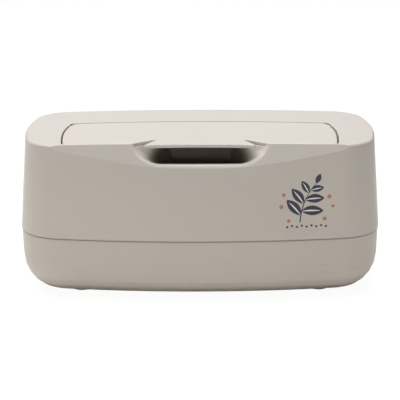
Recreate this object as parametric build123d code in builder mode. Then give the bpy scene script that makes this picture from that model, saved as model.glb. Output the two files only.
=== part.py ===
from build123d import *
import os
from math import cos, hypot, radians, sin, sqrt

os.makedirs("parts", exist_ok=True)

# Baby wipes box, in millimetres. Origin: centre of the footprint, on the surface that it stands on.
# +Z is up, the finger scoop faces -Y, and +X is to the right seen from the front.

# Body of the box, seen from above: eight tangent arcs at the parting plane and eight at the top
overall_width = 250.0
overall_depth = 130.0
overall_height = 107.0
parting_height = 43.3
side_lean, front_lean, back_lean = 4.6, 8.5, 4.2
wall = 2.2
deck_thickness = 2.4
front_bow_low, front_bow_top = 596.0, 6000.0
back_bow_low, back_bow_top = 596.0, 740.0
side_bow_low, side_bow_top = 177.0, 171.0
corner_low, corner_top = 31.4, 26.4
top_rim_radius = 1.8
top_rim_steps = 3
top_width = overall_width - 2 * side_lean
top_front = overall_depth / 2 - front_lean
top_back = overall_depth / 2 - back_lean
deck_underside = overall_height - deck_thickness

# Crescent facet along the front of the top
facet_margin = 6.0
facet_tilt = 27.3
facet_bow = 1500.0
touching = 0.02
facet_edge = top_front - facet_margin

# Finger scoop under the lip of the lid, set out from the facet's edge
scoop_depth = 16.5
scoop_back_half, scoop_behind_edge = 23.0, 19.5
scoop_side_half, scoop_side_reach = 46.0, 1.0
scoop_front_half, scoop_front_reach = 52.0, 15.5
scoop_floor_back_half, scoop_floor_step = 19.0, 3.0
scoop_floor_side_share, scoop_floor_front_share = 0.35, 0.6
scoop_floor_corners = (4.0, 8.0, 5.0)
scoop_mouth_corners = (6.0, 14.0, 8.0)
scoop_floor_radius = 3.0
scoop_rim_radius = 3.4
scoop_overshoot = 12.0
scoop_wall = 2.6
scoop_ledge = 1.8
scoop_floor_height = overall_height - scoop_depth
scoop_back = facet_edge - scoop_behind_edge
scoop_side = facet_edge + scoop_side_reach
scoop_front = facet_edge + scoop_front_reach

# Lid, flush with the top
lid_rear = 18.5
lid_rear_bow = 628.0
lid_side_margin = 27.2
lid_widest = -18.0
lid_side_bow_rear, lid_side_bow_front = 100.0, 240.0
lid_rear_corner, lid_front_corner = 5.5, 4.0
lid_thickness = 2.2
lid_edge_radius = 0.9
lid_rim = 1.25
lid_gap_rear, lid_gap_side, lid_gap_front = 0.6, 1.0, 0.4
lid_ledge_gap = 0.3
notch_half, notch_root_half = 46.0, 28.8
notch_root_margin = 5.0
notch_radius = 6.0
tongue_half, tongue_reach = 37.2, 3.5
tongue_bow = 2.0
tongue_corner = 0.8
outline_passes = 12
lid_half_width = top_width / 2 - lid_side_margin
lid_underside = overall_height - lid_thickness
notch_root = scoop_back + notch_root_margin
tongue_front = facet_edge + tongue_reach

# Hinge of the lid: a pin at each end, close under the deck
hinge_setback = 10.5
hinge_drop = 1.8
pin_radius = 1.0
pin_chamfer = 0.2
pin_length = 17.0
pin_reach = 4.8
pin_play = 0.05
lid_boss_radius = 1.8
lid_boss_length, lid_boss_margin = 9.7, 4.0
socket_reach = 3.4
socket_drop = 3.4
socket_cap = 1.0
hinge_back = lid_rear - hinge_setback
hinge_height = overall_height - hinge_drop
pin_outer = lid_half_width + pin_reach
pin_inner = pin_outer - pin_length
lid_boss_outer = lid_half_width - lid_boss_margin
lid_boss_inner = lid_boss_outer - lid_boss_length
socket_outer = pin_outer + socket_cap

# Recess that takes the lid, with the gutter that its rear edge swings into
recess_depth = 6.0
recess_wall = 2.0
recess_side_bow_rear = 118.0
recess_rear_corner = 4.5
gutter_margin = 2.5
gutter_clearance = 0.15
opening_side_margin, opening_front_margin, opening_rear_margin = 21.2, 6.0, 5.0
opening_corner = 8.0
skirt_depth = 2.0
skirt_wall = 2.0
recess_floor_height = overall_height - recess_depth
recess_underside = recess_floor_height - wall
gutter_front = hinge_back - gutter_margin
gutter_floor_height = hinge_height - hypot(lid_rear - hinge_back, hinge_drop) - gutter_clearance
opening_half = lid_half_width - opening_side_margin
opening_front = scoop_back - opening_front_margin
opening_rear = gutter_front - opening_rear_margin

# Liner and seal under the lid
liner_side_margin, liner_front_margin, liner_rear_margin = 10.0, 3.6, 2.7
liner_corner = 10.0
liner_thickness = 1.8
peg_radius = 1.6
peg_end_margin, peg_rows = 12.0, 22.0
peg_columns = 3
lid_seal_width = 3.0
lid_seal_gap = 0.3
liner_half = opening_half + liner_side_margin
liner_front = opening_front + liner_front_margin
liner_rear = opening_rear + liner_rear_margin
liner_middle = (liner_rear - liner_front) / 2
peg_spread = liner_half - peg_end_margin

# Tub, with a spigot that the cover sits over
foot_height = 1.0
tub_step = 0.4
tub_draft = 1.0
tub_bottom_radius = 24.2
tub_bottom_steps = 6
parting_gap = 0.3
spigot_rise = 6.0
spigot_gap = 0.3
spigot_wall = 1.8
seal_groove_depth = 0.9
seal_rise, seal_height = 2.3, 2.0
seal_gap = 0.25
rib_top = 12.0
rib_thickness = 1.6
rib_spacing = 40.0
rib_count = 5
tub_top = parting_height - parting_gap
spigot_inset = wall + spigot_gap
spigot_top = parting_height + spigot_rise
seal_bottom = parting_height + seal_rise
floor_height = foot_height + wall

# Feet
foot_radius = 7.0
foot_thickness = 2.0
foot_margin_x, foot_margin_y = 43.0, 35.0
foot_boss_radius = 9.5
foot_boss_height = 1.2
foot_spread_x = overall_width - 2 * foot_margin_x
foot_spread_y = overall_depth - 2 * foot_margin_y

# Press plate that lies on the wipes
plate_margin_x, plate_margin_y = 23.0, 16.0
plate_height = 7.0
plate_corner = 20.0
plate_skin = 2.0
plate_edge_chamfer = 1.2
slot_length, slot_width = 110.0, 30.0
slot_wall = 2.0
plate_cover_thickness = 1.6
plate_cover_play = 0.2
weight_width, weight_height = 24.0, 3.0
weight_margin_x, weight_margin_y = 11.0, 15.0
weight_fence = 1.2
weight_play = 0.3
plate_width = overall_width - 2 * plate_margin_x
plate_depth = overall_depth - 2 * plate_margin_y
plate_bottom = rib_top
plate_top = plate_bottom + plate_height
pocket_top = plate_top - plate_skin
weight_depth = plate_depth - 2 * weight_margin_y
weight_spread = plate_width - 2 * weight_margin_x - weight_width


def arc_round(centre, start, end):
    """Arc from start to end about a centre, on the side away from that centre."""
    radius = (start - centre).length
    middle = centre + ((start + end) * 0.5 - centre).normalized() * radius
    return ThreePointArc(start, middle, end)


def corner_points(half_width, reach, long_bow, side_bow, corner):
    """Corner centre, and where a corner arc meets the long bowed face and the bowed side."""
    long_centre = Vector(0, reach - long_bow)
    side_centre = Vector(half_width - side_bow, 0)
    long_reach, side_reach = long_bow - corner, side_bow - corner
    apart = side_centre - long_centre
    along = (apart.length ** 2 + long_reach ** 2 - side_reach ** 2) / (2 * apart.length)
    across = sqrt(long_reach ** 2 - along ** 2)
    unit = apart.normalized()
    corners = [long_centre + unit * along + Vector(-unit.Y, unit.X) * side * across for side in (-1, 1)]
    centre = max(corners, key=lambda point: point.X + point.Y)
    on_long = long_centre + (centre - long_centre).normalized() * long_bow
    on_side = side_centre + (centre - side_centre).normalized() * side_bow
    return centre, on_long, on_side, long_centre, side_centre


def mix(low, high, share):
    return low + (high - low) * share


def body_outline(share, inset):
    """Outline of the box: share 0 is the parting plane, share 1 the top, moved inwards by inset."""
    half_width = mix(overall_width, top_width, share) / 2 - inset
    side_bow = mix(side_bow_low, side_bow_top, share) - inset
    corner = mix(corner_low, corner_top, share) - inset
    front = mix(overall_depth / 2, top_front, share) - inset
    back = mix(overall_depth / 2, top_back, share) - inset
    front_bow = 1 / mix(1 / front_bow_low, 1 / front_bow_top, share) - inset
    back_bow = 1 / mix(1 / back_bow_low, 1 / back_bow_top, share) - inset
    rear = corner_points(half_width, back, back_bow, side_bow, corner)
    fore = corner_points(half_width, front, front_bow, side_bow, corner)
    rear_centre, rear_long, rear_side, back_centre, side_centre = rear
    fore_centre, fore_long, fore_side, front_centre, _ = fore

    def place(point, x_sign, y_sign):
        return Vector(point.X * x_sign, point.Y * y_sign)

    arc_round(place(front_centre, 1, -1), place(fore_long, -1, -1), place(fore_long, 1, -1))
    arc_round(place(fore_centre, 1, -1), place(fore_long, 1, -1), place(fore_side, 1, -1))
    arc_round(side_centre, place(fore_side, 1, -1), rear_side)
    arc_round(rear_centre, rear_side, rear_long)
    arc_round(back_centre, rear_long, place(rear_long, -1, 1))
    arc_round(place(rear_centre, -1, 1), place(rear_long, -1, 1), place(rear_side, -1, 1))
    arc_round(place(side_centre, -1, 1), place(rear_side, -1, 1), place(fore_side, -1, -1))
    arc_round(place(fore_centre, -1, -1), place(fore_side, -1, -1), place(fore_long, -1, -1))


def body_section(height, share, inset):
    with BuildSketch(Plane.XY.offset(height)) as section:
        with BuildLine():
            body_outline(share, inset)
        make_face()
    return section.sketch


def share_at(height):
    return (height - parting_height) / (overall_height - parting_height)


def body_solid(low, high, inset, rim=0.0):
    """Solid that follows the leaning walls of the cover between two heights, with a rounded rim."""
    with BuildPart() as solid:
        add(body_section(low, share_at(low), inset))
        for step in range(top_rim_steps + 1 if rim else 1):
            turn = radians(90 * step / top_rim_steps)
            height = high - rim * (1 - sin(turn))
            add(body_section(height, share_at(height), inset + rim * (1 - cos(turn))))
        loft(ruled=True)
    return solid.part


def tub_solid(low, high, inset, bottom_radius):
    """Drafted solid with a large rounding round its bottom edge, as bands of equal turn."""
    with BuildPart() as solid:
        for step in range(tub_bottom_steps + 1):
            turn = radians(90 * step / tub_bottom_steps)
            height = low + bottom_radius * (1 - cos(turn))
            draft = tub_draft * (high - height) / (high - low)
            add(body_section(height, 0, inset + draft + bottom_radius * (1 - sin(turn))))
        add(body_section(high, 0, inset))
        loft(ruled=True)
    return solid.part


def facet_cutter(depth):
    """What lies in front of the facet, moved into the box by depth."""
    lean = radians(facet_tilt)
    outward = Vector(0, -cos(lean), sin(lean))
    down = Vector(0, -sin(lean), -cos(lean))
    start = Vector(0, -facet_edge, overall_height) - outward * depth
    reach = overall_width / 2
    sag = facet_bow - sqrt(facet_bow ** 2 - reach ** 2)
    with BuildPart() as cutter:
        with BuildSketch(Plane(origin=start, x_dir=(1, 0, 0), z_dir=down)):
            with BuildLine():
                ThreePointArc((-reach, sag), (0, 0), (reach, sag))
                Polyline((reach, sag), (reach, parting_height), (-reach, parting_height), (-reach, sag))
            make_face()
        extrude(amount=parting_height, both=True)
    return cutter.part


def corners_at(section, half, depth):
    """The two corners of a section that stand at this half width and depth."""
    return section.vertices().filter_by(
        lambda v: abs(abs(v.X) - half) < touching and abs(v.Y - depth) < touching
    )


def scoop_section(height, corners, radii, grow):
    """Six-sided plan of the scoop, mirrored about the middle, rounded from the back to the front."""
    with BuildSketch(Plane.XY.offset(height)) as section:
        with BuildLine():
            Polyline(corners + [Vector(-point.X, point.Y) for point in reversed(corners)], close=True)
        make_face()
        for corner, radius in zip(corners, radii):
            fillet(corners_at(section, corner.X, corner.Y), radius)
        if grow:
            offset(amount=grow)
    return section.sketch


def scoop_solid(grow):
    """Bowl of the scoop, or with grow the outside of its wall. Floor and mouth have parallel edges."""
    mouth = [Vector(scoop_back_half, -scoop_back), Vector(scoop_side_half, -scoop_side),
             Vector(scoop_front_half, -scoop_front)]
    floor_back = Vector(scoop_floor_back_half, -scoop_back - scoop_floor_step)
    floor_side = floor_back + (mouth[1] - mouth[0]) * scoop_floor_side_share
    floor_front = floor_side + (mouth[2] - mouth[1]) * scoop_floor_front_share
    floor = [floor_back, floor_side, floor_front]
    flare = scoop_overshoot / (overall_height - scoop_floor_height)
    high = [top + (top - low) * flare for top, low in zip(mouth, floor)]
    with BuildPart() as solid:
        add(scoop_section(scoop_floor_height - grow, floor, scoop_floor_corners, grow))
        add(scoop_section(overall_height + scoop_overshoot, high, scoop_mouth_corners, grow))
        loft(ruled=True)
        fillet(solid.edges().group_by(Axis.Z)[0], scoop_floor_radius)
    return solid.part


def facet_edge_at(x):
    return -facet_edge - (facet_bow - sqrt(facet_bow ** 2 - x ** 2)) / cos(radians(facet_tilt))


def panel_corners(rear_y, half, rear_side_bow, front_inset):
    """Rear and front corner points of the lid's bowed outline, before they are rounded."""
    rear_x = half
    for _ in range(outline_passes):
        y = rear_y - rear_x ** 2 / (2 * lid_rear_bow)
        rear_x = half - (y - lid_widest) ** 2 / (2 * rear_side_bow)
    front_x = half
    for _ in range(outline_passes):
        front_y = facet_edge_at(front_x) + front_inset
        front_x = half - (front_y - lid_widest) ** 2 / (2 * lid_side_bow_front)
    return (rear_x, y), (front_x, front_y)


def lid_curves(rear_grow, side_grow, front_inset, rear_side_bow, notched):
    """Bowed edges of the lid, or of the recess round it when it isn't notched."""
    half = lid_half_width + side_grow
    rear_y = lid_rear + rear_grow
    (rear_x, rear_corner_y), (front_x, front_y) = panel_corners(rear_y, half, rear_side_bow, front_inset)
    rear_mid = (rear_corner_y + lid_widest) / 2
    rear_bulge = half - (rear_mid - lid_widest) ** 2 / (2 * rear_side_bow)
    front_mid = (front_y + lid_widest) / 2
    front_bulge = half - (front_mid - lid_widest) ** 2 / (2 * lid_side_bow_front)
    ThreePointArc((-rear_x, rear_corner_y), (0, rear_y), (rear_x, rear_corner_y))
    for side in (-1, 1):
        ThreePointArc(
            (side * rear_x, rear_corner_y), (side * rear_bulge, rear_mid), (side * half, lid_widest)
        )
        ThreePointArc(
            (side * half, lid_widest), (side * front_bulge, front_mid), (side * front_x, front_y)
        )
    if notched:
        notch_y = facet_edge_at(notch_half) + front_inset
        middle_x = (front_x + notch_half) / 2
        for side in (-1, 1):
            ThreePointArc(
                (side * front_x, front_y),
                (side * middle_x, facet_edge_at(middle_x) + front_inset),
                (side * notch_half, notch_y),
            )
            Polyline(
                (side * notch_half, notch_y), (side * notch_root_half, -notch_root),
                (side * tongue_half, -tongue_front),
            )
        ThreePointArc(
            (-tongue_half, -tongue_front), (0, tongue_bow - tongue_front), (tongue_half, -tongue_front)
        )
    else:
        ThreePointArc((-front_x, front_y), (0, facet_edge_at(0) + front_inset), (front_x, front_y))


def recess_plan(grow):
    """Outline of the recess, or with grow the outside of the wall round it."""
    with BuildSketch() as section:
        with BuildLine():
            lid_curves(
                lid_gap_rear + grow, lid_gap_side + grow, lid_rim - grow, recess_side_bow_rear, False
            )
        make_face()
        rear, fore = panel_corners(
            lid_rear + lid_gap_rear + grow, lid_half_width + lid_gap_side + grow,
            recess_side_bow_rear, lid_rim - grow,
        )
        fillet(corners_at(section, *rear), recess_rear_corner + grow)
        fillet(corners_at(section, *fore), lid_front_corner + grow)
    return section.sketch


def rounded_box(half, front, rear, corner, low, high):
    """Upright block with rounded corners, from its half width and its front and rear faces."""
    with BuildPart() as block:
        with BuildSketch(Plane(origin=(0, (rear - front) / 2, low))):
            RectangleRounded(2 * half, front + rear, corner)
        extrude(amount=high - low)
    return block.part


def recess_cutter():
    """Space of the recess, less the ledge that stands round the scoop, under the lid."""
    with BuildPart() as cutter:
        with BuildSketch(Plane.XY.offset(recess_floor_height)):
            add(recess_plan(0))
        extrude(amount=lid_underside - lid_ledge_gap - recess_floor_height)
        add(scoop_solid(scoop_ledge), mode=Mode.SUBTRACT)
        with BuildSketch(Plane.XY.offset(lid_underside - lid_ledge_gap)):
            add(recess_plan(0))
        extrude(amount=overall_height)
    return cutter.part


# Space inside the cover: the body's inside less the recess, gutter, scoop and skirt that hang in it
with BuildPart() as cavity:
    add(body_solid(parting_height, overall_height, wall))
    split(bisect_by=Plane.XY.offset(deck_underside), keep=Keep.BOTTOM)
    add(facet_cutter(wall), mode=Mode.SUBTRACT)
    add(scoop_solid(scoop_wall), mode=Mode.SUBTRACT)
    with BuildSketch(Plane.XY.offset(recess_underside)):
        add(recess_plan(recess_wall))
    extrude(amount=overall_height - recess_underside, mode=Mode.SUBTRACT)
    with BuildSketch(Plane.XY.offset(gutter_floor_height - recess_wall)):
        add(recess_plan(recess_wall))
        with Locations((0, gutter_front - recess_wall)):
            Rectangle(
                overall_width, overall_depth, align=(Align.CENTER, Align.MIN), mode=Mode.INTERSECT
            )
    extrude(amount=recess_underside - gutter_floor_height + recess_wall, mode=Mode.SUBTRACT)
    add(
        rounded_box(
            opening_half + skirt_wall, opening_front + skirt_wall, opening_rear + skirt_wall,
            opening_corner + skirt_wall, recess_underside - skirt_depth, recess_underside,
        ),
        mode=Mode.SUBTRACT,
    )
    for side in (-1, 1):
        with Locations((side * (lid_half_width + socket_outer) / 2, hinge_back, deck_underside)):
            Box(
                socket_outer - lid_half_width + recess_wall, 2 * socket_reach, socket_drop,
                align=(Align.CENTER, Align.CENTER, Align.MAX), mode=Mode.SUBTRACT,
            )


def on_facet_edge(edge):
    """True for an edge that lies on the facet, beside the finger scoop."""
    lean = radians(facet_tilt)
    for share in (0, 0.5, 1):
        point = edge.position_at(share)
        gap = (point.Y + facet_edge) * -cos(lean) + (point.Z - overall_height) * sin(lean)
        gap -= facet_bow - sqrt(facet_bow ** 2 - point.X ** 2)
        if abs(gap) > touching or abs(point.X) > scoop_front_half:
            return False
    return scoop_floor_height < edge.center().Z < overall_height + scoop_overshoot / 2 - touching


# Cover: the upper housing with the deck, the lid's recess, the hinge gutter and the finger scoop
with BuildPart() as cover_shell:
    add(body_solid(parting_height, overall_height + scoop_overshoot / 2, 0))
    add(facet_cutter(0), mode=Mode.SUBTRACT)
    add(scoop_solid(0), mode=Mode.SUBTRACT)
    fillet(cover_shell.edges().filter_by(on_facet_edge), scoop_rim_radius)
    add(body_solid(parting_height, overall_height, 0, top_rim_radius), mode=Mode.INTERSECT)
    add(cavity.part, mode=Mode.SUBTRACT)
    add(recess_cutter(), mode=Mode.SUBTRACT)
    with BuildSketch(Plane.XY.offset(gutter_floor_height)):
        add(recess_plan(0))
        with Locations((0, gutter_front)):
            Rectangle(
                overall_width, overall_depth, align=(Align.CENTER, Align.MIN), mode=Mode.INTERSECT
            )
    extrude(amount=overall_height, mode=Mode.SUBTRACT)
    add(
        rounded_box(
            opening_half, opening_front, opening_rear, opening_corner,
            recess_underside - skirt_depth, overall_height,
        ),
        mode=Mode.SUBTRACT,
    )
    for side in (-1, 1):
        with BuildSketch(Plane(origin=(0, hinge_back, hinge_height), x_dir=(0, 1, 0), z_dir=(side, 0, 0))):
            Circle(pin_radius + pin_play)
        extrude(amount=pin_outer + pin_play, mode=Mode.SUBTRACT)

cover_shell.part.label = "cover_shell"
export_step(cover_shell.part, "parts/cover_shell.step")

# Lid panel with the lip over the scoop and a boss at each end of the hinge
with BuildPart() as lid_panel:
    with BuildSketch(Plane.XY.offset(overall_height - lid_thickness)) as panel_section:
        with BuildLine():
            lid_curves(0, 0, lid_rim + lid_gap_front, lid_side_bow_rear, True)
        make_face()
        lid_inset = lid_rim + lid_gap_front
        rear, fore = panel_corners(lid_rear, lid_half_width, lid_side_bow_rear, lid_inset)
        fillet(corners_at(panel_section, *rear), lid_rear_corner)
        fillet(corners_at(panel_section, *fore), lid_front_corner)
        notch_reach = facet_edge_at(notch_half) + lid_inset
        fillet(corners_at(panel_section, notch_half, notch_reach), notch_radius)
        fillet(corners_at(panel_section, tongue_half, -tongue_front), tongue_corner)
    extrude(amount=lid_thickness)
    fillet(lid_panel.edges().group_by(Axis.Z)[-1], lid_edge_radius)
    for side in (-1, 1):
        with BuildSketch(Plane(origin=(side * lid_boss_inner, hinge_back, hinge_height),
                               x_dir=(0, 1, 0), z_dir=(side, 0, 0))):
            Circle(lid_boss_radius)
        extrude(amount=lid_boss_outer - lid_boss_inner)
        with BuildSketch(Plane(origin=(side * pin_inner, hinge_back, hinge_height),
                               x_dir=(0, 1, 0), z_dir=(side, 0, 0))):
            Circle(pin_radius)
        extrude(amount=lid_boss_outer, mode=Mode.SUBTRACT)

    with BuildSketch(Plane.XY.offset(lid_underside)):
        with Locations((0, liner_middle)):
            with GridLocations(peg_spread, peg_rows, peg_columns, 2):
                Circle(peg_radius)
    extrude(amount=-liner_thickness)

lid_panel.part.label = "lid_panel"
export_step(lid_panel.part, "parts/lid_panel.step")

# Hinge pins: fast in the lid's bosses, free in the cover's sockets
for name, side in (("left", -1), ("right", 1)):
    with BuildPart() as hinge_pin:
        with BuildSketch(Plane(origin=(side * pin_inner, hinge_back, hinge_height),
                               x_dir=(0, 1, 0), z_dir=(side, 0, 0))):
            Circle(pin_radius)
        extrude(amount=pin_outer - pin_inner)
        chamfer(hinge_pin.edges(), pin_chamfer)
    hinge_pin.part.label = f"hinge_pin_{name}"
    export_step(hinge_pin.part, f"parts/hinge_pin_{name}.step")

# Liner under the lid, with the seal that closes on the floor of the recess
with BuildPart() as lid_liner:
    add(rounded_box(liner_half, liner_front, liner_rear, liner_corner,
                    lid_underside - liner_thickness, lid_underside))
    with BuildSketch(Plane.XY.offset(lid_underside)):
        with Locations((0, liner_middle)):
            with GridLocations(peg_spread, peg_rows, peg_columns, 2):
                Circle(peg_radius)
    extrude(amount=-liner_thickness, mode=Mode.SUBTRACT)

lid_liner.part.label = "lid_liner"
export_step(lid_liner.part, "parts/lid_liner.step")

with BuildPart() as lid_seal:
    add(rounded_box(liner_half, liner_front, liner_rear, liner_corner,
                    recess_floor_height + lid_seal_gap, lid_underside - liner_thickness))
    add(rounded_box(liner_half - lid_seal_width, liner_front - lid_seal_width, liner_rear - lid_seal_width,
                    liner_corner - lid_seal_width,
                    recess_floor_height, lid_underside), mode=Mode.SUBTRACT)

lid_seal.part.label = "lid_seal"
export_step(lid_seal.part, "parts/lid_seal.step")

# Tub: bottom half with the spigot that the cover sits over, floor ribs and pockets for the feet
with BuildPart() as base_tub:
    add(tub_solid(foot_height, tub_top, tub_step, tub_bottom_radius))
    add(body_solid(tub_top - wall, spigot_top, spigot_inset))
    add(tub_solid(floor_height, tub_top - wall, tub_step + wall, tub_bottom_radius - wall),
        mode=Mode.SUBTRACT)
    add(body_solid(tub_top - 2 * wall, spigot_top + wall, spigot_inset + spigot_wall),
        mode=Mode.SUBTRACT)
    with BuildPart(mode=Mode.PRIVATE) as ribs:
        with BuildSketch(Plane.XY.offset(floor_height - wall / 2)):
            with GridLocations(rib_spacing, 0, rib_count, 1):
                Rectangle(rib_thickness, overall_depth)
        extrude(amount=rib_top - floor_height + wall / 2)
        add(tub_solid(foot_height + wall / 2, tub_top, tub_step + wall / 2, tub_bottom_radius - wall / 2),
            mode=Mode.INTERSECT)
    add(ribs.part)
    with BuildSketch(Plane.XY.offset(floor_height - wall / 2)):
        with GridLocations(foot_spread_x, foot_spread_y, 2, 2):
            Circle(foot_boss_radius)
    extrude(amount=foot_boss_height + wall / 2)
    with BuildSketch():
        with GridLocations(foot_spread_x, foot_spread_y, 2, 2):
            Circle(foot_radius)
    extrude(amount=foot_thickness, mode=Mode.SUBTRACT)
    with BuildPart(mode=Mode.PRIVATE) as seal_groove:
        add(body_solid(seal_bottom, seal_bottom + seal_height, spigot_inset - spigot_gap))
        add(body_solid(seal_bottom, seal_bottom + seal_height, spigot_inset + seal_groove_depth),
            mode=Mode.SUBTRACT)
    add(seal_groove.part, mode=Mode.SUBTRACT)

base_tub.part.label = "base_tub"
export_step(base_tub.part, "parts/base_tub.step")

# Seal in the groove of the spigot
with BuildPart() as base_seal:
    add(body_solid(seal_bottom, seal_bottom + seal_height, wall + seal_gap))
    add(body_solid(seal_bottom, seal_bottom + seal_height, spigot_inset + seal_groove_depth),
        mode=Mode.SUBTRACT)

base_seal.part.label = "base_seal"
export_step(base_seal.part, "parts/base_seal.step")

# Four rubber feet in the pockets of the tub
for name, x_side, y_side in (("front_left", -1, -1), ("front_right", 1, -1),
                             ("rear_left", -1, 1), ("rear_right", 1, 1)):
    foot_place = Plane(origin=(x_side * foot_spread_x / 2, y_side * foot_spread_y / 2, 0))
    with BuildPart() as foot:
        with BuildSketch(foot_place):
            Circle(foot_radius)
        extrude(amount=foot_thickness)
        chamfer(foot.edges().group_by(Axis.Z)[0], foot_height / 2)
    foot.part.label = f"foot_{name}"
    export_step(foot.part, f"parts/foot_{name}.step")

# Press plate: a hollow frame round a slot, closed from below, with a steel weight at each end
with BuildPart() as press_plate_frame:
    with BuildSketch(Plane.XY.offset(plate_bottom)):
        RectangleRounded(plate_width, plate_depth, plate_corner)
    extrude(amount=plate_height)
    chamfer(press_plate_frame.edges().group_by(Axis.Z)[-1], plate_edge_chamfer)
    with BuildSketch(Plane.XY.offset(plate_bottom)):
        RectangleRounded(plate_width - 2 * plate_skin, plate_depth - 2 * plate_skin,
                         plate_corner - plate_skin)
        SlotOverall(slot_length + 2 * slot_wall, slot_width + 2 * slot_wall, mode=Mode.SUBTRACT)
    extrude(amount=pocket_top - plate_bottom, mode=Mode.SUBTRACT)
    with BuildSketch(Plane.XY.offset(plate_bottom)):
        SlotOverall(slot_length, slot_width)
    extrude(amount=plate_height, mode=Mode.SUBTRACT)
    with BuildSketch(Plane.XY.offset(plate_bottom + plate_cover_thickness)):
        fence_grow = 2 * (weight_play + weight_fence)
        with GridLocations(weight_spread, 0, 2, 1):
            Rectangle(weight_width + fence_grow, weight_depth + fence_grow)
            Rectangle(weight_width + 2 * weight_play, weight_depth + 2 * weight_play, mode=Mode.SUBTRACT)
    extrude(amount=pocket_top - plate_bottom - plate_cover_thickness)

press_plate_frame.part.label = "press_plate_frame"
export_step(press_plate_frame.part, "parts/press_plate_frame.step")

with BuildPart() as press_plate_cover:
    with BuildSketch(Plane.XY.offset(plate_bottom)):
        inset = plate_skin + plate_cover_play
        RectangleRounded(plate_width - 2 * inset, plate_depth - 2 * inset, plate_corner - inset)
        grow = slot_wall + plate_cover_play
        SlotOverall(slot_length + 2 * grow, slot_width + 2 * grow, mode=Mode.SUBTRACT)
    extrude(amount=plate_cover_thickness)

press_plate_cover.part.label = "press_plate_cover"
export_step(press_plate_cover.part, "parts/press_plate_cover.step")

for name, side in (("left", -1), ("right", 1)):
    with BuildPart() as plate_weight:
        with BuildSketch(Plane(origin=(side * weight_spread / 2, 0, plate_bottom + plate_cover_thickness))):
            Rectangle(weight_width, weight_depth)
        extrude(amount=weight_height)
    plate_weight.part.label = f"plate_weight_{name}"
    export_step(plate_weight.part, f"parts/plate_weight_{name}.step")
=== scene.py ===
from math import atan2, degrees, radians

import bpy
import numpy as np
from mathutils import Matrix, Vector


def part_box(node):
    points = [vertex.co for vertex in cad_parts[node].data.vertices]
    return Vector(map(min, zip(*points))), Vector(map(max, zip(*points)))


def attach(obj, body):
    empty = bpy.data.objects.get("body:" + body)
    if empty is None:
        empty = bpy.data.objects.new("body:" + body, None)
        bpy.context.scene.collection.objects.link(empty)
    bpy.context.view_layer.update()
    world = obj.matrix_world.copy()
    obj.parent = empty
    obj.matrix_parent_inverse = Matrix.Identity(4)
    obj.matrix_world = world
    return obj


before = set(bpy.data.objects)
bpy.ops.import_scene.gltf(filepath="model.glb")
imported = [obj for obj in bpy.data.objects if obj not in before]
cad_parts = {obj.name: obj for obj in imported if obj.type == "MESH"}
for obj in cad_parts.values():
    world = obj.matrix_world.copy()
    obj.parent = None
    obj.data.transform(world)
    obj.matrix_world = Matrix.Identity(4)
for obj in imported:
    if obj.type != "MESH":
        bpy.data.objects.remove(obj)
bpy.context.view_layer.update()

# %% [markdown]
# The box arrives as a finished frame: every rigid piece is already a mesh at its real size, in metres.
# What is left is its finish, the print on its front, the light and the camera.

MM = 0.001

# %% [markdown]
# A material is a small network of nodes. Written as plain Python it reads like the formula that it is,
# so one class wraps a node's output socket and overloads the arithmetic operators. Each operator adds one
# Math node. Everything that isn't arithmetic comes from one method that makes a node of any type.


# %% Shader maths
class Signal:
    """An output socket that can be used in a Python expression."""

    def __init__(self, tree, socket):
        self.tree = tree
        self.socket = socket

    def math(self, operation, other=None, swapped=False):
        node = self.tree.nodes.new("ShaderNodeMath")
        node.operation = operation
        first, second = (1, 0) if swapped else (0, 1)
        self.tree.links.new(self.socket, node.inputs[first])
        if isinstance(other, Signal):
            self.tree.links.new(other.socket, node.inputs[second])
        elif other is not None:
            node.inputs[second].default_value = other
        return Signal(self.tree, node.outputs[0])

    def __add__(self, other):
        return self.math("ADD", other)

    def __radd__(self, other):
        return self.math("ADD", other)

    def __sub__(self, other):
        return self.math("SUBTRACT", other)

    def __rsub__(self, other):
        return self.math("SUBTRACT", other, swapped=True)

    def __mul__(self, other):
        return self.math("MULTIPLY", other)

    def __truediv__(self, other):
        return self.math("DIVIDE", other)

    def power(self, exponent):
        return self.math("POWER", exponent)


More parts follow.
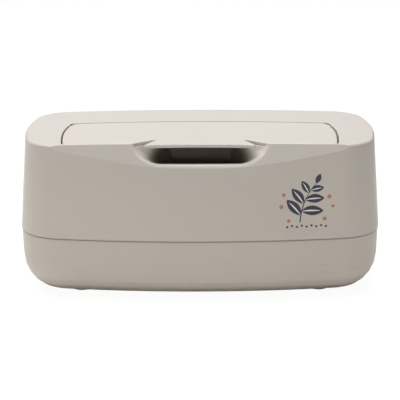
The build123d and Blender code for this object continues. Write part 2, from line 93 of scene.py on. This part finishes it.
class Finish:
    """A new material with one Principled shader, and the method that adds any other node to it."""

    def __init__(self, name, **constants):
        self.material = bpy.data.materials.new(name)
        self.material.use_nodes = True
        self.tree = self.material.node_tree
        self.shader = self.tree.nodes["Principled BSDF"]
        for socket, value in constants.items():
            self.shader.inputs[socket.replace("_", " ")].default_value = value

    def node(self, kind, output=0, settings=None, **inputs):
        """Adds a node of one type, sets its settings, then its inputs by value or by link."""
        node = self.tree.nodes.new(kind)
        for name, value in (settings or {}).items():
            setattr(node, name, value)
        for name, value in inputs.items():
            socket = node.inputs[int(name[1:]) if name[1:].isdigit() else name.replace("_", " ")]
            if isinstance(value, Signal):
                self.tree.links.new(value.socket, socket)
            else:
                socket.default_value = value
        return Signal(self.tree, node.outputs[output])

    def feed(self, socket, signal):
        self.tree.links.new(signal.socket, self.shader.inputs[socket])

    def place(self):
        """Object coordinates: a pattern in them stays on the piece when the piece moves."""
        return self.node("ShaderNodeTexCoord", output="Object")

    def grain(self, per_mm, detail=2.0, stretch=(1, 1, 1), roughness=0.5):
        """Noise between 0 and 1 with so many bumps to the millimetre."""
        mapped = self.node("ShaderNodeMapping", Vector=self.place(), Scale=stretch)
        return self.node(
            "ShaderNodeTexNoise", Vector=mapped, Scale=per_mm / MM, Detail=detail, Roughness=roughness
        )

    def mix(self, mask, first, second):
        """The first colour where the mask is 0 and the second where it is 1."""
        return self.node(
            "ShaderNodeMix", output=2, settings={"data_type": "RGBA"}, _0=mask, _6=first, _7=second
        )

    def axis(self, index):
        """One object coordinate, in metres."""
        return self.node("ShaderNodeSeparateXYZ", output=index, Vector=self.place())

    def fade(self, value, near, far):
        """1 up to near and 0 from far on, with a soft step between them."""
        return self.node(
            "ShaderNodeMapRange", settings={"interpolation_type": "SMOOTHSTEP"},
            Value=value, From_Min=near, From_Max=far, To_Min=1.0, To_Max=0.0,
        )

    def bump(self, height, depth_mm):
        """Relief so many millimetres deep where the height goes from 0 to 1."""
        relief = self.node("ShaderNodeBump", Height=height, Strength=1.0, Distance=depth_mm * MM)
        self.feed("Normal", relief)


def linear(red, green, blue):
    """Linear colour of an sRGB colour in steps of 0 to 255, by the curve of the sRGB standard."""
    share = np.array([red, green, blue]) / 255.0
    return (*np.where(share <= 0.04045, share / 12.92, ((share + 0.055) / 1.055) ** 2.4).tolist(), 1.0)


def shade(colour, factor):
    """The same colour, lighter or darker by a factor."""
    return (*(min(channel * factor, 1.0) for channel in colour[:3]), 1.0)


print("helpers", Signal.__name__, Finish.__name__, linear.__name__, shade.__name__)


# %% [markdown]
# The box is moulded in one satin plastic, a warm grey beige. Real moulded plastic is never one even
# colour: the tint drifts a little over a hand's width, and the mould's fine spark texture breaks up the
# gloss. Broad noise drives the colour, middling noise drives the colour and the roughness, and fine
# noise drives the roughness and a bump about a hundredth of a millimetre deep.

# %% Moulded plastic
greige = linear(207, 200, 191)
tooth_depth = 0.012


def moulded_plastic(name, colour, roughness=0.37, drift=0.035, extras=()):
    """Satin plastic. Each extra takes the finish, the colour and the tint so far, and returns a tint."""
    finish = Finish(name, IOR=1.48, Coat_Weight=0.0)
    broad = finish.grain(0.012, detail=3.0)
    cloud = finish.grain(0.12, detail=2.0)
    tooth = finish.grain(2.6, detail=3.0, roughness=0.6)
    broad_share, cloud_gloss, tooth_gloss = 0.7, 0.06, 0.04
    drifting = broad * broad_share + cloud * (1 - broad_share)
    tint = finish.mix(drifting, shade(colour, 1 - drift), shade(colour, 1 + drift))
    for extra in extras:
        tint = extra(finish, colour, tint)
    finish.feed("Base Color", tint)
    finish.feed("Roughness", roughness + cloud * cloud_gloss + tooth * tooth_gloss)
    finish.bump(tooth, tooth_depth)
    return finish.material


print("satin plastic, tooth", tooth_depth, "mm deep")

# %% [markdown]
# Two places of the photograph are darker than the shadow that these solids cast: the parting seam, and
# the bowl of the finger scoop, which is nearly black. The finish paints shade at both: a darker colour
# that stands in for the deeper shade in the seam's gap and in the bowl under the lid, so what is seen
# there is partly painted shade and not shadow. The painted shade stays on its piece, so the bowl is still
# dark when the lid is open, and the seam's edges when the cover is lifted.
#
# Both are soft steps of the place in object coordinates. The seam's is a band at the parting height.
# The bowl's lies between a floor and the lip, narrows upwards, and ends at a front and a back.

# %% Painted shade in the seam and the bowl, in millimetres
parting_gap = 0.3
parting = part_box("cover_shell")[0][2] / MM - parting_gap / 2
# The seam's painted shade: a band of these half widths about the parting height, and its darkening
# factor.
seam_core, seam_edge, seam_shade_factor = 0.3, 0.9, 0.6

# The bowl's painted shade under the lid: where it lies, in millimetres, then its dark colour and its
# share.
bowl_floor, bowl_lip = 90.5, 104.0
bowl_half_floor, bowl_half_lip = 38.0, 28.0
bowl_front, bowl_front_fade = -45.0, 6.0
bowl_side_fade = 7.0
bowl_back, bowl_back_fade = -27.0, 3.0
bowl_shade_colour, bowl_shade_share = (0.075, 0.055, 0.04, 1), 0.96
above_lip, below_floor = (0.98, 1.02), (0.04, 0.14)


def seam_painted_shade(finish, colour, tint):
    """Painted shade in the seam's gap: a band round the box, full up to seam_core from the parting
    height, gone from seam_edge on.
    """
    away = (finish.axis(2) - parting * MM).math("ABSOLUTE")
    return finish.mix(finish.fade(away, seam_core * MM, seam_edge * MM), tint, shade(colour, seam_shade_factor))


def bowl_painted_shade(finish, colour, tint):
    """Painted shade in the bowl: rise goes from 0 at its floor to 1 at the lip, and its half width falls
    with it.
    """
    rise = (finish.axis(2) - bowl_floor * MM) / ((bowl_lip - bowl_floor) * MM)
    half = (bowl_half_floor - rise * (bowl_half_floor - bowl_half_lip)) * MM
    beside = finish.axis(0).math("ABSOLUTE") - half
    ahead = bowl_front * MM - finish.axis(1)
    inside = finish.fade(beside, -bowl_side_fade * MM, bowl_side_fade * MM)
    inside = inside * finish.fade(ahead, -bowl_front_fade * MM, bowl_front_fade * MM)
    inside = inside * finish.fade(finish.axis(1), (bowl_back - bowl_back_fade) * MM, bowl_back * MM)
    inside = inside * finish.fade(rise, *above_lip) * finish.fade(rise * -1, *below_floor)
    return finish.mix(inside * bowl_shade_share, tint, bowl_shade_colour)


# The cover takes the painted shade of its seam and its bowl, and the tub that of its seam.
plastics = {
    "cover_shell": moulded_plastic("satin_cover", greige, extras=(seam_painted_shade, bowl_painted_shade)),
    "lid_panel": moulded_plastic("satin_lid", shade(greige, 1.02)),
    "base_tub": moulded_plastic("satin_tub", shade(greige, 0.985), extras=(seam_painted_shade,)),
    "lid_liner": moulded_plastic("satin_liner", linear(226, 222, 215)),
    "press_plate_frame": moulded_plastic("satin_plate", linear(226, 222, 215)),
    "press_plate_cover": moulded_plastic("satin_plate_cover", linear(222, 218, 211)),
}
print("plastic finishes", len(plastics))

# %% [markdown]
# The seals are silicone and the feet are a firmer rubber. Both are matt, and both pick up dust, which
# shows as a slightly paler mottling. One function serves both, with another colour and roughness.


# %% Rubber and silicone
def rubber(name, colour, roughness, dust_factor=1.35, dust_matt=0.12, grain_depth=0.02):
    finish = Finish(name, IOR=1.41)
    dust = finish.grain(0.5, detail=4.0, roughness=0.65)
    fine = finish.grain(4.0, detail=2.0)
    finish.feed("Base Color", finish.mix(dust.power(2.0), colour, shade(colour, dust_factor)))
    finish.feed("Roughness", roughness + dust * dust_matt)
    finish.bump(fine, grain_depth)
    return finish.material


silicone = rubber("silicone", linear(205, 203, 198), 0.5)
foot_rubber = rubber("foot_rubber", linear(196, 190, 182), 0.62)
print("rubber finishes", silicone.name, foot_rubber.name)

# %% [markdown]
# The hinge pins are drawn wire and the weights are sheared plate, both plain steel. Drawing and rolling
# leave fine parallel lines, so the noise is stretched along X until it becomes streaks, which vary the
# roughness and lie in the surface as a faint bump.


# %% Steel
def drawn_steel(name, colour, roughness, dull=0.86, bright=1.08, streak_matt=0.18, streak_depth=0.006):
    finish = Finish(name, Metallic=1.0)
    streaks = finish.grain(3.0, detail=3.0, stretch=(0.02, 1, 1))
    stain = finish.grain(0.08, detail=3.0)
    finish.feed("Base Color", finish.mix(stain, shade(colour, dull), shade(colour, bright)))
    finish.feed("Roughness", roughness + streaks * streak_matt)
    finish.bump(streaks, streak_depth)
    return finish.material


pin_steel = drawn_steel("pin_steel", linear(200, 200, 202), 0.22)
weight_steel = drawn_steel("weight_steel", linear(178, 178, 180), 0.38)
print("steel finishes", pin_steel.name, weight_steel.name)

# %% [markdown]
# Each piece of the frame keeps its own mesh and takes its finish in its material slot.


# %% Finishes on the frame's pieces
def dress(node, material):
    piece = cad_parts[node]
    piece.data.materials.clear()
    piece.data.materials.append(material)


finishes = dict(plastics)
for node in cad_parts:
    if "seal" in node:
        finishes[node] = silicone
    elif node.startswith("foot"):
        finishes[node] = foot_rubber
    elif node.startswith("hinge_pin"):
        finishes[node] = pin_steel
    elif node.startswith("plate_weight"):
        finishes[node] = weight_steel
for node, material in finishes.items():
    dress(node, material)
print("dressed nodes", len(finishes), "of", len(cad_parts))

# %% [markdown]
# The front carries a small print at its right. Here it is a sprig with leaves, berries and a few dots
# under it, pad printed in a few flat inks. A pad print follows the wall that it is on, so each motif is
# drawn flat as a surface of two parameters, dropped on the wall along Y by a Shrinkwrap modifier, and
# given the thickness of a film of ink. The result is baked into the mesh, because it has to stay as it
# is when the cover moves. Places and sizes of the motifs are in millimetres from the print's centre.

# %% Print: motifs as surfaces
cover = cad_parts["cover_shell"]
INK_LIFT = 0.06 * MM
INK_FILM = 0.05 * MM
PRINT_FRONT = -90 * MM
print_centre = np.array([71.0, 69.0])


def flat_to_wall(x, z):
    """Points in millimetres from the print's centre, placed in front of the wall in metres."""
    return np.stack(
        [(print_centre[0] + x) * MM, np.full_like(x, PRINT_FRONT), (print_centre[1] + z) * MM], axis=-1
    )


def leaf(root, angle, length, width, bend, along=15, across=5):
    """A pointed leaf: its half width is width/2 times sin(pi u) to the power lobe, u running from the
    root to the tip, and its midrib bends sideways by bend times the length times u squared. The half
    width is held just off zero at both ends, so that no face there is empty."""
    lobe, off_end = 0.75, 0.002
    u = np.linspace(0.0, 1.0, along)[:, None]
    v = np.linspace(-1.0, 1.0, across)[None, :]
    half = width / 2 * np.sin(np.pi * np.clip(u, off_end, 1 - off_end)) ** lobe
    forward = u * length + 0 * v
    sideways = v * half + bend * length * u ** 2
    turn = radians(angle)
    x = root[0] + forward * np.cos(turn) - sideways * np.sin(turn)
    z = root[1] + forward * np.sin(turn) + sideways * np.cos(turn)
    return across, along, flat_to_wall(x, z)


def dot(centre, radius, core=0.02, rings=3, around=22):
    """A disc: radius times u outwards, u from core to 1, and v once round."""
    u = np.linspace(core, 1.0, rings)[:, None]
    v = np.linspace(0.0, 2 * np.pi, around)[None, :]
    return around, rings, flat_to_wall(
        centre[0] + radius * u * np.cos(v), centre[1] + radius * u * np.sin(v)
    )


def stem(start, end, bow, width, taper=0.6, along=25, across=3):
    """A band along the parabola 4 bow u (1 - u) from start to end, where bow is how far it stands off
    the straight line at its middle. Its width shrinks by the share taper towards the end."""
    u = np.linspace(0.0, 1.0, along)[:, None]
    v = np.linspace(-1.0, 1.0, across)[None, :]
    run = np.array(end) - np.array(start)
    side = np.array([-run[1], run[0]]) / np.hypot(*run)
    offset = 4 * bow * u * (1 - u) + v * width / 2 * (1 - taper * u)
    x = start[0] + run[0] * u + side[0] * offset
    z = start[1] + run[1] * u + side[1] * offset
    return across, along, flat_to_wall(x, z)


def stem_point(start, end, bow, u):
    """The point at the share u of the same parabola, where a leaf takes root."""
    run = np.array(end) - np.array(start)
    side = np.array([-run[1], run[0]]) / np.hypot(*run)
    return np.array(start) + run * u + side * 4 * bow * u * (1 - u)


print("print centred at", print_centre, "mm, ink film", INK_FILM / MM, "mm")

# %% [markdown]
# Each ink is one material, opaque and a little glossier than the wall. Fine noise varies its colour and
# its gloss a little, as a printed film does.


# %% Print: inks
def ink(name, colour, roughness=0.36, thin=0.9, thick=1.12, speckle_matt=0.1, speckle_depth=0.01):
    finish = Finish(name, IOR=1.5)
    speckle = finish.grain(1.6, detail=3.0)
    finish.feed("Base Color", finish.mix(speckle, shade(colour, thin), shade(colour, thick)))
    finish.feed("Roughness", roughness + speckle * speckle_matt)
    finish.bump(speckle, speckle_depth)
    return finish.material


charcoal_ink = ink("ink_charcoal", linear(58, 60, 76))
white_ink = ink("ink_white", linear(236, 233, 228))
terracotta_ink = ink("ink_terracotta", linear(196, 128, 92))
print("inks", charcoal_ink.name, white_ink.name, terracotta_ink.name)

# %% [markdown]
# The motifs of one ink become one piece, and the veins lie a film's height above the leaves. The leaves
# stand along the stem in pairs that get smaller towards its tip, the berries float around it, and a row
# of dots that step up and down in turn closes the print below.


# %% Print: layout
def printed(name, shapes, material, lift=1.0):
    """Joins motifs into one mesh, drops it on the wall along Y and bakes the result."""
    vertices, faces, start = [], [], 0
    for across, along, points in shapes:
        index = np.arange(across * along).reshape(along, across) + start
        quads = np.stack([index[:-1, :-1], index[1:, :-1], index[1:, 1:], index[:-1, 1:]], axis=-1)
        vertices.append(points.reshape(-1, 3))
        faces.append(quads.reshape(-1, 4))
        start += across * along
    mesh = bpy.data.meshes.new(name)
    mesh.from_pydata(np.concatenate(vertices).tolist(), [], np.concatenate(faces).tolist())
    piece = bpy.data.objects.new(name, mesh)
    bpy.context.scene.collection.objects.link(piece)
    drop = piece.modifiers.new("drop on wall", "SHRINKWRAP")
    drop.target = cover
    drop.wrap_method = "PROJECT"
    drop.use_project_y = True
    drop.use_negative_direction = False
    drop.use_positive_direction = True
    drop.wrap_mode = "ABOVE_SURFACE"
    drop.offset = INK_LIFT * lift
    film = piece.modifiers.new("ink film", "SOLIDIFY")
    film.thickness = INK_FILM
    film.offset = -1
    bpy.context.view_layer.update()
    seen = piece.evaluated_get(bpy.context.evaluated_depsgraph_get())
    baked = bpy.data.meshes.new_from_object(seen)
    piece.modifiers.clear()
    piece.data = baked
    baked.materials.clear()
    baked.materials.append(material)
    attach(piece, "cover")
    normals = np.zeros(3 * len(baked.polygons))
    baked.polygons.foreach_get("normal", normals)
    clearly = 0.5
    outward = int((normals[1::3] < -clearly).sum())
    print(name, len(baked.polygons), "faces, of which", outward, "face the front")


# The stem's start, end and bow, and its width.
spray, spray_width = ((-4.5, -13.5), (6.0, 12.5), 2.4), 0.9
# Each leaf: its place as a share of the stem, its side, its turn off the stem in degrees, length, width.
leaf_rows = [
    (0.16, 1, 58, 14.0, 6.6), (0.26, -1, -62, 14.5, 6.6), (0.44, 1, 54, 13.0, 6.2),
    (0.55, -1, -58, 12.5, 6.0), (0.72, 1, 46, 9.5, 4.8), (0.80, -1, -50, 9.0, 4.6),
]
spray_heading = degrees(atan2(spray[1][1] - spray[0][1], spray[1][0] - spray[0][0]))
leaf_bend = 0.1
vein_length, vein_width = 0.86, 0.16
dark_shapes = [stem(*spray, spray_width)]
light_shapes = []
for share, side, turn, length, width in leaf_rows:
    root = stem_point(*spray, share)
    heading = spray_heading + turn
    dark_shapes.append(leaf(root, heading, length, width, bend=leaf_bend * side))
    light_shapes.append(
        leaf(root, heading, length * vein_length, width * vein_width, bend=leaf_bend * side)
    )
tip, tip_turn, tip_length, tip_width, tip_bend = stem_point(*spray, 1.0), -4, 7.0, 3.6, 0.02
dark_shapes.append(leaf(tip, spray_heading + tip_turn, tip_length, tip_width, bend=tip_bend))
# Each berry: across, up and radius.
berries = [
    (-17.0, -3.0, 1.4), (-15.5, 5.0, 1.2), (15.0, 3.5, 1.4), (17.5, -3.0, 1.1), (12.0, -11.5, 1.3),
    (-12.0, -12.5, 1.2),
]
warm_shapes = [dot((x, z), radius) for x, z, radius in berries]
row_height, row_step, row_half, row_count, row_radius = -16.6, 0.7, 13, 9, 0.75
ground_dots = [
    dot((x, row_height + row_step * (k % 2)), row_radius)
    for k, x in enumerate(np.linspace(-row_half, row_half, row_count))
]
printed("print_leaves", dark_shapes, charcoal_ink)
printed("print_veins", light_shapes, white_ink, lift=2.0)
printed("print_berries", warm_shapes, terracotta_ink)
printed("print_ground_dots", ground_dots, charcoal_ink)

# %% [markdown]
# The box stands on a plain pale floor under soft studio light. The photograph's background is pure
# white, so for camera rays nine tenths of the floor is an even white, and the rest is the lit floor
# itself, which keeps a trace of the box's soft shadow. For all other rays it is pale paint, a little
# warm, which was set by comparing renders with the photograph. The world is white for the camera and
# nearly dark for all other rays.


# %% Floor and world
warm_paint = (0.94, 0.91, 0.85, 1), (0.97, 0.94, 0.88, 1)


def studio_floor(size=8.0, white_share=0.9, white_strength=1.06):
    bpy.ops.mesh.primitive_plane_add(size=size, location=(0, 0, 0))
    floor = bpy.context.object
    floor.name = "floor"
    finish = Finish("pale_floor", Roughness=0.9)
    mottle = finish.grain(0.004, detail=2.0)
    finish.feed("Base Color", finish.mix(mottle, *warm_paint))
    nodes, links = finish.tree.nodes, finish.tree.links
    glow = nodes.new("ShaderNodeEmission")
    glow.inputs["Color"].default_value = (1, 1, 1, 1)
    glow.inputs["Strength"].default_value = white_strength
    blend = nodes.new("ShaderNodeMixShader")
    seen = Signal(finish.tree, nodes.new("ShaderNodeLightPath").outputs["Is Camera Ray"]) * white_share
    links.new(seen.socket, blend.inputs[0])
    links.new(finish.shader.outputs[0], blend.inputs[1])
    links.new(glow.outputs[0], blend.inputs[2])
    links.new(blend.outputs[0], nodes["Material Output"].inputs["Surface"])
    floor.data.materials.append(finish.material)


def studio_world(level):
    """Strength 1 for camera rays and level for all others."""
    world = bpy.data.worlds.new("studio")
    bpy.context.scene.world = world
    world.use_nodes = True
    tree = world.node_tree
    background = tree.nodes["Background"]
    path = tree.nodes.new("ShaderNodeLightPath")
    camera_ray = Signal(tree, path.outputs["Is Camera Ray"])
    background.inputs["Color"].default_value = (1, 1, 1, 1)
    strength = camera_ray * (1 - level) + level
    tree.links.new(strength.socket, background.inputs["Strength"])


studio_floor()
studio_world(level=0.04)
print("floor and world", bpy.context.scene.world.name)

# %% [markdown]
# Two large soft lamps do the rest. A wide panel overhead makes the top clearly brighter than the walls.
# A long low strip in front, a little to the left, lights the walls and lets the right end fall off. The
# panel is slightly cool and the strip slightly warm. Both were set by comparing renders with the
# photograph, and not worked out from its light.


# %% Lamps
def soft_lamp(name, place, aim, size, watts, colour):
    """A rectangular lamp at a place, in metres, that points at its aim."""
    light = bpy.data.lights.new(name, "AREA")
    light.color = colour
    light.shape = "RECTANGLE"
    light.size, light.size_y = size
    light.energy = watts
    lamp = bpy.data.objects.new(name, light)
    bpy.context.scene.collection.objects.link(lamp)
    lamp.location = place
    heading = np.array(aim) - np.array(place)
    across = np.hypot(heading[0], heading[1])
    lamp.rotation_euler = (atan2(across, -heading[2]), 0, atan2(-heading[0], heading[1]))
    print(name, watts, "W, size", size, "m")


soft_lamp(
    "overhead", place=(-0.16, 0.2, 1.3), aim=(-0.05, 0, 0.05), size=(1.45, 1.5), watts=30.2,
    colour=(1.0, 1.0, 1.035),
)
soft_lamp(
    "front_low", place=(-0.5, -1.5, 0.14), aim=(0, 0, 0.03), size=(1.2, 0.2), watts=2.6,
    colour=(1.0, 0.98, 0.95),
)

# %% [markdown]
# The camera stands a metre from the box, raised by 15.6 degrees, with a long lens and a trace of roll.
# These values came from fitting the outlines of the box to the photograph.

# %% Camera
camera_distance = 1.0
camera_height_angle = radians(15.56)
camera_target = np.array([0.0, 0.0, 54.3 * MM])
camera_lens, camera_sensor = 127.3, 36.0
camera_roll = radians(-0.16)

camera_data = bpy.data.cameras.new("camera")
camera_data.lens = camera_lens
camera_data.sensor_width = camera_sensor
camera_data.sensor_fit = "HORIZONTAL"
camera = bpy.data.objects.new("camera", camera_data)
bpy.context.scene.collection.objects.link(camera)
camera.location = camera_target + camera_distance * np.array(
    [0.0, -np.cos(camera_height_angle), np.sin(camera_height_angle)]
)
camera.rotation_mode = "XYZ"
camera.rotation_euler = (radians(90) - camera_height_angle, 0.0, 0.0)
camera.rotation_euler.rotate_axis("Z", camera_roll)
bpy.context.scene.camera = camera
bpy.context.scene.view_settings.view_transform = "Standard"
print("camera", camera_lens, "mm at", [round(value, 3) for value in camera.location])
